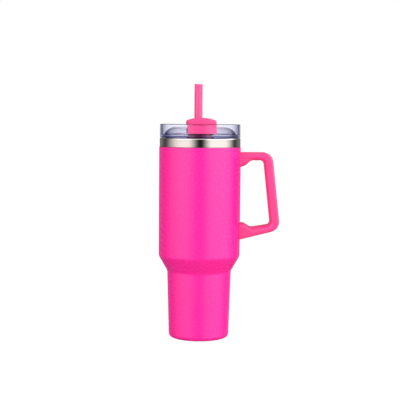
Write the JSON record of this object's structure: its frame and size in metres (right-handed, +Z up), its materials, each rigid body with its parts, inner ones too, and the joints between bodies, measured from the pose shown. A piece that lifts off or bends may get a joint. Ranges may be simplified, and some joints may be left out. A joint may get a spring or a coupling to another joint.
{
  "type": "insulated tumbler with lid",
  "caption": "Double-walled steel tumbler with a tapered foot, a side handle, a clear press-in lid, a turning cover over the drinking hole, and an upright straw.",
  "frame": {"origin": "on the cup's axis, on the surface that the cup stands on", "axes": "+Z up along the cup's axis; +X towards the handle; the drinking hole and the cover's finger tab are on the -Y side"},
  "size_m": [0.1474, 0.1, 0.311],
  "materials": {
    "pink_coat": "satin powder coat, vivid magenta pink",
    "pink_plastic": "satin moulded plastic, warm pink",
    "steel": "bare stainless steel, polished on the rim",
    "clear_plastic": "clear polished plastic, faint lilac",
    "silicone": "translucent white silicone",
    "copper": "bright copper foil",
    "glass_solder": "dark fused glass",
    "getter": "grey pressed powder metal"
  },
  "bodies": {
    "cup": {"outer_shell": "pink_coat", "inner_liner": "steel", "copper_foil": "copper", "base_plate": "steel", "base_cover": "steel", "vacuum_seal": "glass_solder", "getter_clip": "steel", "getter_pellet": "getter", "handle": "pink_plastic", "upper_handle_bracket": "steel", "upper_handle_screw": "steel", "lower_handle_bracket": "steel", "lower_handle_screw": "steel"},
    "lid": {"lid_body": "clear_plastic", "lid_gasket": "silicone"},
    "cover": {"rotating_cover": "pink_plastic", "cover_seal": "silicone", "drink_stopper": "silicone", "retaining_ring": "steel", "straw_grommet": "silicone"},
    "drinking_straw": {"straw": "pink_plastic"}
  },
  "joints": [
    {"name": "lid_lift", "type": "slide", "parent": "cup", "child": "lid", "axis": [0, 0, 1], "range_m": [0, 0.25]},
    {"name": "cover_turn", "type": "hinge", "parent": "lid", "child": "cover", "pos_m": [0, 0, 0.2606], "axis": [0, 0, 1], "range_deg": [-93.3, 86.7]},
    {"name": "straw_slide", "type": "slide", "parent": "cover", "child": "drinking_straw", "axis": [0, 0, 1], "range_m": [0, 0.25]}
  ]
}
